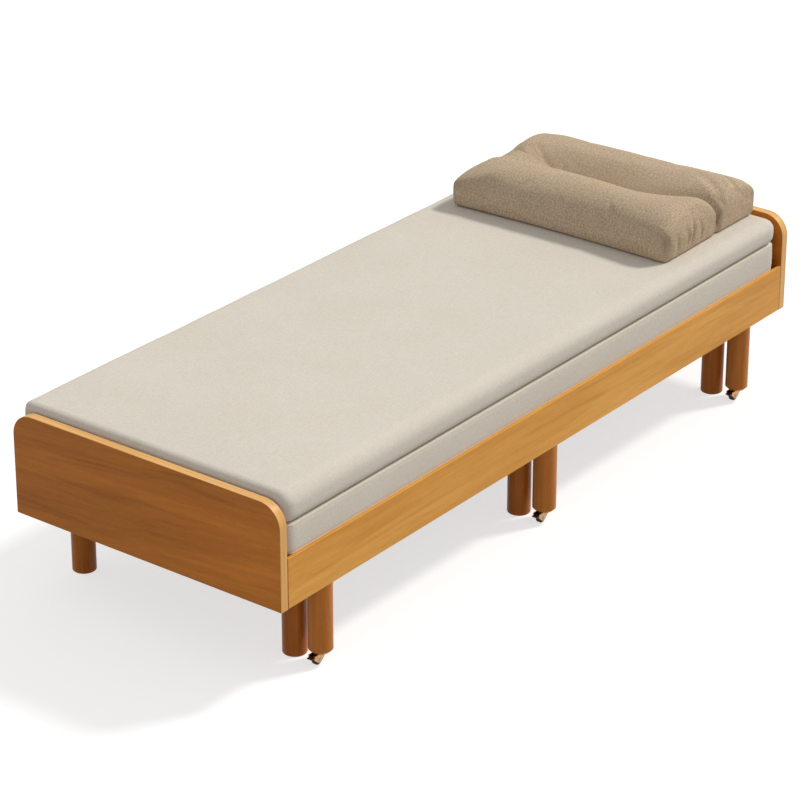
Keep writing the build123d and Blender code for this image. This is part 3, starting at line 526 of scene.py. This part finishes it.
def roundEdge(inward, level, radii, edge):
    # Points near a square edge drawn to a quarter of an ellipse with these two radii
    a = np.clip((radii[0] - inward) / radii[0], 0, None)
    b = np.clip((level - (edge - radii[1])) / radii[1], 0, None)
    both = (a > 0) & (b > 0)
    pull = np.where(both, np.maximum(a, b) / np.maximum(np.hypot(a, b), 1e-9), 1)
    drawnIn = np.where(both, radii[0] - a * pull * radii[0], inward)
    return drawnIn, np.where(both, edge - radii[1] + b * pull * radii[1], level)


def mattressShape(flat, m):
    # A box with rounded corners in plan, soft upper and lower edges, bowed sides and a crowned top, whose
    # upper edge is sharper at the left end and the back, and which rises a little towards the left end
    halfLength = (mattress["right"] - mattress["left"]) / 2
    halfDepth = mattress["halfDepth"]
    height = m["top"] - m["bottom"]
    radius = mattress["cornerRadius"]
    x = flat[..., 0] - halfLength
    y = flat[..., 1] - halfDepth
    z = flat[..., 2]
    coreX = np.clip(x, radius - halfLength, halfLength - radius)
    coreY = np.clip(y, radius - halfDepth, halfDepth - radius)
    offX, offY = x - coreX, y - coreY
    reach = np.maximum(abs(offX), abs(offY))
    power = np.where((x < 0) & (y > 0), mattress["squareCorner"], mattress["roundCorner"])
    length = np.maximum((abs(offX) ** power + abs(offY) ** power) ** (1 / power), 1e-9)
    inward = radius - reach
    sharp = ((x < 0) * offX**2 + (y > 0) * offY**2) / np.maximum(offX**2 + offY**2, 1e-12)
    topRound = [soft + (hard - soft) * sharp for soft, hard in zip(m["topRound"], m["sharpRound"])]
    inward, z = roundEdge(inward, z, topRound, height)
    inward, fallen = roundEdge(inward, height - z, m["bottomRound"], height)
    z = height - fallen
    side = np.clip(1 - inward / mattress["bowRun"], 0, 1)
    bow = m["bulge"] * side * np.sin(math.pi * np.clip(z / height, 0, 1))
    pull = np.where(reach > 0, (radius - inward + bow) / length, 0)
    x = coreX + offX * pull
    y = coreY + offY * pull
    toEnd = halfLength - abs(x)
    rise = m["crown"] * (1 - (1 - np.clip(toEnd / mattress["crownRun"], 0, 1)) ** 2)
    lift = np.clip(z / height, 0, 1) ** mattress["liftPower"]
    z = z + rise * lift * (1 - (y / halfDepth) ** 2)
    z = z + m["leftLift"] * lift * np.clip(1 - (x + halfLength) / m["liftRun"], 0, 1)
    wide = ripple(x, y, mattress["waves"], m["seed"])
    near = np.exp(-(halfDepth - abs(y)) / mattress["dragRun"]) + np.exp(-toEnd / mattress["dragRun"])
    drag = ripple(x, y * mattress["dragStretch"], mattress["dragWaves"], m["seed"] + 1) * near
    z = z + lift * (m["wave"] * (wide - 1) + m["drag"] * (drag - 1))
    return np.stack([x + (mattress["left"] + mattress["right"]) / 2, y, z + m["bottom"]], axis=-1)


def mattressLayout(sheet, flat, size):
    # The cover laid flat: the top as it is, and each wall folded out from the edge it hangs on
    drop = size[2] - sheet[..., 2]
    x, y = sheet[..., 0], sheet[..., 1]
    if flat == 0:
        x = np.where(x > 0, x + drop, x - drop)
    if flat == 1:
        y = np.where(y > 0, y + drop, y - drop)
    return np.stack([x, y], axis=-1)


def makeMattress(m, body, cover, core):
    size = (mattress["right"] - mattress["left"], 2 * mattress["halfDepth"], m["top"] - m["bottom"])
    sheets = boxSheets(size, mattress["step"])
    layouts = [mattressLayout(sheet, number // 2, size) for number, sheet in enumerate(sheets)]
    piece, _ = sewSheets(m["name"], [mattressShape(sheet, m) for sheet in sheets], layouts)
    dress(piece, mattressFabric, body)
    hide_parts(cover, core)
    print(m["name"], len(piece.data.polygons), "faces")


def seamPath(inset, level):
    # A closed line round the mattress at an inset from its sides: four straights and four quarter circles
    halfLength = (mattress["right"] - mattress["left"]) / 2 - inset
    halfDepth = mattress["halfDepth"] - inset
    radius = mattress["cornerRadius"] - inset
    corner = np.linspace(0, math.pi / 2, mattress["seamCornerPoints"])
    path = []
    for turn, (sx, sy) in enumerate(((1, 1), (-1, 1), (-1, -1), (1, -1))):
        angle = corner + turn * math.pi / 2
        cx, cy = sx * (halfLength - radius), sy * (halfDepth - radius)
        path.append(np.stack([cx + radius * np.cos(angle), cy + radius * np.sin(angle)], axis=-1))
    path = np.concatenate(path + [path[0][:1]])
    gaps = np.linalg.norm(np.diff(path, axis=0), axis=1)
    far = np.concatenate([[0], np.cumsum(gaps)])
    even = np.arange(0, far[-1] - mattress["seamStep"] / 3, mattress["seamStep"])
    even = np.unique(np.concatenate([even, far[:-1]]))
    xy = np.stack([np.interp(even, far, path[:, k]) for k in (0, 1)], axis=-1)
    z = np.full(len(xy), level)
    return np.column_stack([xy[:, 0] + (mattress["left"] + mattress["right"]) / 2, xy[:, 1], z])


# Back cushion

cushion = {
    "left": 0.532, "right": 0.944, "front": -0.3175, "back": 0.3225, "bottom": 0.4604, "turn": 0.8,
    "seamUp": 0.044, "foot": 0.009, "cornerRadius": 0.014, "nearCornerRadius": 0.034,
    "sidePower": 2.35, "merge": 14, "frontRun": 0.06, "frontPower": 3.2, "backRun": 0.055, "backPower": 4.0,
    "notchAt": 0.772, "notchDepth": 0.009, "notchWidth": 0.010, "notchRun": 0.03,
    "fillingReach": 0.08, "sewnWidth": 0.008, "sewnUntil": 0.2, "sewnFade": 0.08, "sewnBelow": 0.07,
    "sewnHold": 0.9, "footHold": 0.02, "settle": 0.05,
    "across": 88, "along": 112, "evenAt": (0.0, -0.275), "slack": 0.0004,
}
stuffing = {
    "pressure": 3.5, "frames": 20, "cap": 0.008, "leastHold": 0.02, "quality": 6, "stretch": 25, "bend": 1.0,
    "shrink": -0.004,
}
# How its section changes from the front end to the back end: how high its two lobes and what fills the
# channel between them stand, where the lobes' inner walls come down, and how square these are
stations = {
    "place": (-0.3175, -0.28, -0.23, -0.17, 0.0, 0.12, 0.2, 0.27, 0.3225),
    "nearLobe": (0.112, 0.112, 0.11, 0.107, 0.106, 0.104, 0.099, 0.089, 0.08),
    "farLobe": (0.099, 0.099, 0.098, 0.096, 0.093, 0.091, 0.089, 0.086, 0.083),
    "filling": (0.022, 0.036, 0.048, 0.05, 0.05, 0.052, 0.064, 0.079, 0.077),
    "nearWall": (0.766, 0.764, 0.75, 0.738, 0.738, 0.738, 0.741, 0.742, 0.742),
    "farWall": (0.778, 0.768, 0.752, 0.736, 0.734, 0.734, 0.734, 0.734, 0.734),
    "square": (3.2, 3.0, 2.4, 2.1, 2.1, 2.1, 2.1, 2.1, 2.1),
}


def stationAt(y, name):
    # A smooth curve through the stations' values: cubic spans that share their slopes
    places, values = np.array(stations["place"]), np.array(stations[name])
    slopes = np.gradient(values, places)
    i = np.clip(np.searchsorted(places, y) - 1, 0, len(places) - 2)
    span = places[i + 1] - places[i]
    t = np.clip((y - places[i]) / span, 0, 1)
    between = values[i] * (2 * t**3 - 3 * t**2 + 1) + values[i + 1] * (3 * t**2 - 2 * t**3)
    return between + span * (slopes[i] * (t**3 - 2 * t**2 + t) + slopes[i + 1] * (t**3 - t**2))


def quarter(share, power):
    # A quarter of a superellipse: 0 and upright at share 0, 1 and level at share 1
    return (1 - (1 - np.clip(share, 0, 1)) ** power) ** (1 / power)


def lobe(x, outer, inner, height, square, c):
    # A crown between an outer wall that starts at the seam and an inner wall that starts at the mattress
    middle = (outer + inner) / 2
    share = (x - middle) / (inner - middle)
    outside = c["seamUp"] + (height - c["seamUp"]) * quarter(1 + share, c["sidePower"])
    inside = height * (1 - np.clip(share, 0, 1) ** square) ** (1 / square)
    return np.where(share < 0, outside, inside)


def cushionTop(x, y, c):
    # The height of the upper side, and of the seam it ends at: the lobes and the filling join as a soft
    # maximum, the nth root of the sum of their nth powers, and round over at the ends
    nearWall, farWall, square = (stationAt(y, name) for name in ("nearWall", "farWall", "square"))
    near = lobe(x, c["left"], nearWall, stationAt(y, "nearLobe"), square, c)
    far = lobe(x, c["right"], farWall, stationAt(y, "farLobe"), square, c)
    between = abs(x - (nearWall + farWall) / 2) < c["fillingReach"]
    filling = np.where(between, stationAt(y, "filling"), 0)
    section = (near ** c["merge"] + far ** c["merge"] + filling ** c["merge"]) ** (1 / c["merge"])
    seam = np.minimum(c["seamUp"], section)
    front = quarter((y - c["front"]) / c["frontRun"], c["frontPower"])
    back = quarter((c["back"] - y) / c["backRun"], c["backPower"])
    return seam + (section - seam) * front * back, seam


def cushionBottom(x, y, seam, c):
    # Flat on the mattress, and round its foot up to the seam
    toSide = np.minimum(x - c["left"], c["right"] - x)
    inward = np.minimum(toSide, np.minimum(y - c["front"], c["back"] - y))
    near = np.clip(1 - inward / c["foot"], 0, 1)
    return seam * (1 - np.sqrt(1 - near**2))


def evenSpread(start, end, profiles, count):
    # Places from start to end at even steps along the profiles' mean line, so that steep walls get as many
    fine = np.linspace(start, end, 4001)
    steps = sum(np.hypot(np.diff(fine), np.diff(profile(fine))) for profile in profiles) / len(profiles)
    length = np.concatenate([[0], np.cumsum(steps)])
    even = np.linspace(0, length[-1], count + 1)
    return np.interp(even, length, fine), even - length[-1] / 2


def cushionPlan(x, y, c):
    # Square corners drawn in to round ones, the front end drawn in at the channel, and all turned a little
    middleX, middleY = (c["left"] + c["right"]) / 2, (c["front"] + c["back"]) / 2
    halfX, halfY = (c["right"] - c["left"]) / 2, (c["back"] - c["front"]) / 2
    offX, offY = x - middleX, y - middleY
    radius = np.where((offX < 0) & (offY < 0), c["nearCornerRadius"], c["cornerRadius"])
    coreX = np.clip(offX, radius - halfX, halfX - radius)
    coreY = np.clip(offY, radius - halfY, halfY - radius)
    shareX, shareY = (offX - coreX) / radius, (offY - coreY) / radius
    roundX = coreX + radius * shareX * np.sqrt(1 - shareY**2 / 2)
    roundY = coreY + radius * shareY * np.sqrt(1 - shareX**2 / 2)
    notch = np.exp(-(((x - c["notchAt"]) / c["notchWidth"]) ** 2) - (y - c["front"]) / c["notchRun"])
    roundY = roundY + c["notchDepth"] * notch
    turn = math.radians(c["turn"])
    turnedX = roundX * math.cos(turn) - roundY * math.sin(turn)
    return turnedX + middleX, roundX * math.sin(turn) + roundY * math.cos(turn) + middleY


def mattressTopAt(x, y):
    # How far below the cushion's bottom plane the mattress's crown has fallen
    halfLength = (mattress["right"] - mattress["left"]) / 2
    toEnd = halfLength - abs(x - (mattress["left"] + mattress["right"]) / 2)
    rise = upperMattress["crown"] * (1 - (1 - np.clip(toEnd / mattress["crownRun"], 0, 1)) ** 2)
    return rise * (1 - (y / mattress["halfDepth"]) ** 2) - upperMattress["crown"]


def makeCushionSheets(c):
    sections = [lambda x, y=y: cushionTop(x, np.full_like(x, y), c)[0] for y in c["evenAt"]]
    nearCrest = lambda y: cushionTop(np.full_like(y, (3 * c["left"] + c["right"]) / 4), y, c)[0]
    across, flatX = evenSpread(c["left"], c["right"], sections, c["across"])
    along, flatY = evenSpread(c["front"], c["back"], [nearCrest], c["along"])
    x, y = np.meshgrid(across, along, indexing="ij")
    upperZ, seam = cushionTop(x, y, c)
    lowerZ = cushionBottom(x, y, seam, c)
    planX, planY = cushionPlan(x, y, c)
    upper = np.stack([planX, planY, upperZ + c["bottom"]], axis=-1)
    lower = np.stack([planX, planY, lowerZ + c["bottom"]], axis=-1)
    layout = np.stack(np.meshgrid(flatX, flatY, indexing="ij"), axis=-1)
    channel = abs(x - (stationAt(y, "nearWall") + stationAt(y, "farWall")) / 2)
    sewn = np.clip(1 - channel / c["sewnWidth"], 0, 1) * np.clip((c["sewnUntil"] - y) / c["sewnFade"], 0, 1)
    sewn = sewn * (upperZ < c["sewnBelow"])
    return upper, lower, layout, sewn, np.clip(1 - lowerZ / c["footHold"], 0, 1)


def inflate(piece, held, slack, c):
    # Blows the cover up as cloth, keeps each point within the cap of where it was, and applies it
    mesh = piece.data
    fitted = readPoints(mesh)
    normals = readPoints(mesh, "normal")
    start = fitted - normals * (slack * (1 - held))[:, None]
    writePoints(mesh, start)
    group = piece.vertex_groups.new(name="held")
    for index in np.nonzero(held > c["leastHold"])[0]:
        group.add([int(index)], float(held[index]), "REPLACE")
    cloth = piece.modifiers.new("stuffing", "CLOTH")
    settings = cloth.settings
    settings.use_pressure = True
    settings.uniform_pressure_force = c["pressure"]
    settings.effector_weights.gravity = 0
    settings.vertex_group_mass = "held"
    settings.quality = c["quality"]
    settings.tension_stiffness = settings.compression_stiffness = c["stretch"]
    settings.bending_stiffness = c["bend"]
    settings.shrink_min = c["shrink"]
    cloth.point_cache.frame_start, cloth.point_cache.frame_end = 1, c["frames"]
    for number in range(1, c["frames"] + 1):
        bpy.context.scene.frame_set(number)
    shown = piece.evaluated_get(bpy.context.evaluated_depsgraph_get())
    moved = readPoints(shown.to_mesh())
    shown.to_mesh_clear()
    piece.modifiers.remove(cloth)
    piece.vertex_groups.remove(group)
    bpy.context.scene.frame_set(1)
    shift = moved - start
    length = np.linalg.norm(shift, axis=1, keepdims=True)
    writePoints(mesh, start + shift * np.minimum(1, c["cap"] / np.maximum(length, 1e-9)))
    outward = ((readPoints(mesh) - fitted) * normals).sum(axis=1)
    print("inflated", piece.name, "by up to", round(float(length.max()) * 1000, 1), "mm, and in the middle",
          round(float(np.median(outward)) * 1000, 1), "mm proud of its drawn shape")


# Creases in the cover: places that each one runs through, its depth and its width. Metres.
creases = [
    (((0.658, -0.318, 0.532), (0.656, -0.319, 0.512), (0.651, -0.317, 0.47)), 0.0065, 0.0055),
    (((0.621, -0.319, 0.526), (0.634, -0.319, 0.501), (0.635, -0.317, 0.472)), 0.0035, 0.006),
    (((0.58, -0.32, 0.522), (0.591, -0.319, 0.489), (0.587, -0.317, 0.467)), 0.003, 0.007),
    (((0.683, -0.318, 0.524), (0.694, -0.318, 0.497), (0.694, -0.316, 0.472)), 0.003, 0.006),
    (
        ((0.544, -0.27, 0.536), (0.544, -0.296, 0.53), (0.548, -0.311, 0.514), (0.549, -0.313, 0.49)),
        0.004, 0.006,
    ),
    (
        ((0.86, -0.19, 0.556), (0.835, -0.246, 0.558), (0.813, -0.285, 0.552), (0.797, -0.308, 0.528)),
        0.0035, 0.010,
    ),
    (
        ((0.888, -0.24, 0.552), (0.873, -0.285, 0.557), (0.864, -0.304, 0.549), (0.842, -0.316, 0.515)),
        0.005, 0.007,
    ),
    (((0.924, -0.3, 0.541), (0.927, -0.31, 0.53), (0.92, -0.315, 0.505)), 0.004, 0.006),
    (((0.799, -0.297, 0.541), (0.8, -0.31, 0.531), (0.795, -0.315, 0.512)), 0.003, 0.006),
    (((0.56, 0.322, 0.52), (0.575, 0.323, 0.49)), 0.002, 0.008),
    (((0.86, 0.318, 0.53), (0.85, 0.32, 0.49)), 0.003, 0.008),
    (((0.9, 0.31, 0.53), (0.905, 0.318, 0.49)), 0.002, 0.007),
]
creaseForm = {
    "samples": 48, "fadeFrom": 0.35, "fadeRun": 0.8 * math.pi, "fadePower": 1.2,
    "foldAt": 1.9, "foldShare": 0.45,
}


def creaseDepth(points, c):
    # Each crease is a groove with a low fold beside it, fading out at its ends
    total = np.zeros(len(points))
    for path, depth, width in creases:
        corners = np.array(path)
        share = np.linspace(0, 1, c["samples"])
        knots = np.linspace(0, 1, len(corners))
        line = np.stack([np.interp(share, knots, corners[:, k]) for k in range(3)], axis=-1)
        apart = np.linalg.norm(points[:, None] - line, axis=-1)
        nearest = apart.argmin(axis=1)
        gap = apart[np.arange(len(points)), nearest]
        fade = np.sin(share[nearest] * c["fadeRun"] + c["fadeFrom"]) ** c["fadePower"]
        fold = np.exp(-(((gap - c["foldAt"] * width) / width) ** 2))
        total += depth * fade * (np.exp(-((gap / width) ** 2)) - c["foldShare"] * fold)
    return total


def makeCushion(c):
    upper, lower, layout, sewn, standing = makeCushionSheets(c)
    sheets = [upper, lower[::-1]]
    layouts = [layout, layout[::-1] * (1, -1) + (0, 2)]
    piece, index = sewSheets("backCushion", sheets, layouts)
    mesh = piece.data
    count = upper.shape[0] * upper.shape[1]
    held = np.zeros(len(mesh.vertices))
    held[index[count:]] = standing[::-1].reshape(-1)
    held[index[:count]] = np.maximum(held[index[:count]], c["sewnHold"] * sewn.reshape(-1))
    inflate(piece, held, c["slack"], stuffing)
    points = readPoints(mesh)
    points -= readPoints(mesh, "normal") * creaseDepth(points, creaseForm)[:, None]
    points[:, 2] = np.maximum(points[:, 2], c["bottom"])
    fallen = mattressTopAt(points[:, 0], points[:, 1])
    points[:, 2] += fallen * np.clip(1 - (points[:, 2] - c["bottom"]) / c["settle"], 0, 1)
    writePoints(mesh, points)
    finer = piece.modifiers.new("finer", "SUBSURF")
    finer.levels = finer.render_levels = 1
    dress(piece, cushionFabric, "cushion")
    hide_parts("cushion_cover", "cushion_filling")
    print("backCushion", len(mesh.polygons), "faces before its subdivision")


# Everything is put together here

def paint(names, material):
    for name in names:
        for place in nodes[name].material_slots:
            place.material = material


woodGrain = makeGrainGroup(grain)
plainWeave = makeWeaveGroup()
fineScuffs = makeScuffGroup()
makeCamera(photoCamera)
makeLight(light)
makeFloor(light)
print("camera, lamps and floor are in place")

mattressFabric = makeCloth("mattressLinen", mattressCloth)
cushionFabric = makeCloth("cushionWeave", cushionCloth)
seamFabric = makeCloth("seamLinen", seamCloth)
zinc = makeHard("zincSteel", zincFinish)
white = makeHard("naturalNylon", nylonFinish)

paint(["left_end_panel", "right_end_panel"], makeWood("shadedPanelWood", shadedPanelFinish))
paint(["front_rail", "back_rail"], makeWood("railWood", railFinish))
paint([f"{row}_leg_{end}" for row in ("front", "back") for end in ends], makeWood("legWood", legFinish))
paint([f"caster_leg_{end}" for end in ends], makeWood("litCasterLegWood", litCasterLegFinish))
bearers = [f"{kind}_{end}" for kind in ("cross_bearer", "leg_block") for end in ends]
paint(bearers, makeWood("bearerWood", bearerFinish))
paint(["front_beam", "rear_batten"], makeWood("battenWood", battenFinish))
paint(["fixed_slats", "moving_slats", "frame_dowels"], makeWood("slatWood", slatFinish))
paint(["fixed_slat_screws", "moving_slat_screws", "bearer_screws", "beam_screws", "block_screws"], zinc)
paint(["bracket_screws", "corner_brackets", "fixed_leg_bolts", "caster_leg_bolts", "caster_sockets"], zinc)
paint([f"{kind}_{end}" for kind in ("caster_axle", "brake_pin") for end in ends], zinc)
paint([f"caster_fork_{end}" for end in ends], makeHard("brassPlate", brassFinish))
paint([f"caster_wheel_{end}" for end in ends], makeHard("wheelRubber", rubberFinish))
paint([f"brake_pedal_{end}" for end in ends], makeHard("pedalPlastic", pedalFinish))
paint(["beam_glides", "batten_glides"], white)
print("frame finished")

makeMattress(lowerMattress, "lower_mattress", "lower_mattress_cover", "lower_mattress_core")
makeMattress(upperMattress, "upper_mattress", "upper_mattress_cover", "upper_mattress_core")
seamLevels = {
    "lowerMattressTopWelt": lowerMattress["top"] - mattress["topSeamDrop"],
    "lowerMattressBottomWelt": lowerMattress["bottom"] + mattress["bottomSeamRise"],
}
for name, level in seamLevels.items():
    path = seamPath(mattress["seamInset"], level)
    welt = ring(name, path, mattress["seamRadius"], mattress["seamSides"])
    dress(welt, seamFabric, "lower_mattress")
makeCushion(cushion)
print("soft pieces finished")

bpy.context.scene.view_settings.view_transform = "Standard"
